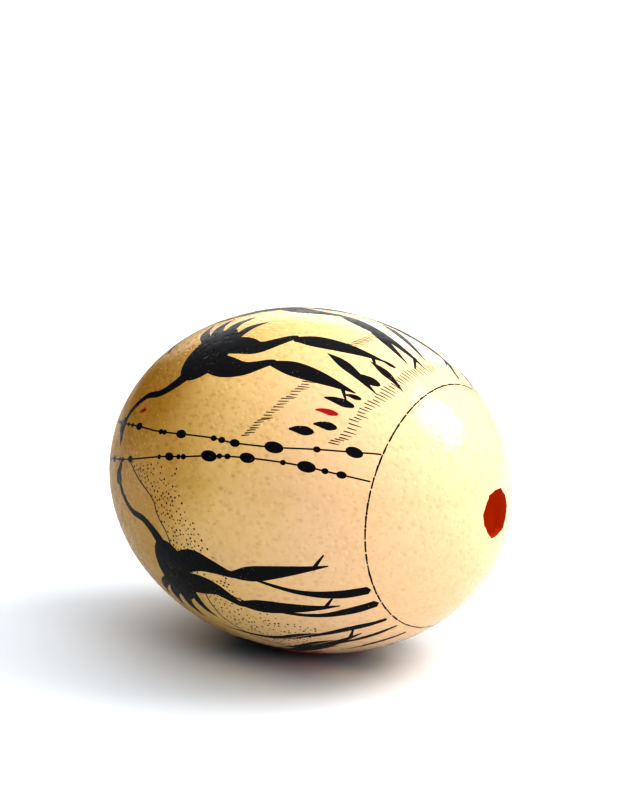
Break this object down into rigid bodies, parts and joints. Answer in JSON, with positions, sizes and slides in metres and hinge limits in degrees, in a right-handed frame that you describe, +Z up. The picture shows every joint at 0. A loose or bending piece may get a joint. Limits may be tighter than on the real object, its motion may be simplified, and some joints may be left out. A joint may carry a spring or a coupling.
{
  "type": "decorated ostrich egg",
  "caption": "Blown ostrich egg with a chipped hole in one end, lying on its side, its glossy shell painted in black and red.",
  "frame": {"origin": "bottom centre of the egg's box, on the flat spot that it rests on", "axes": "+Z up, +X along the egg's long axis towards the end with the hole, +Y to the side away from the picture's camera"},
  "size_m": [0.1558, 0.122, 0.1215],
  "materials": {
    "eggshell": "glossy pitted natural eggshell, with flat black and red painting on it in the looks"
  },
  "bodies": {
    "root": {"eggshell": "eggshell"}
  },
  "joints": []
}
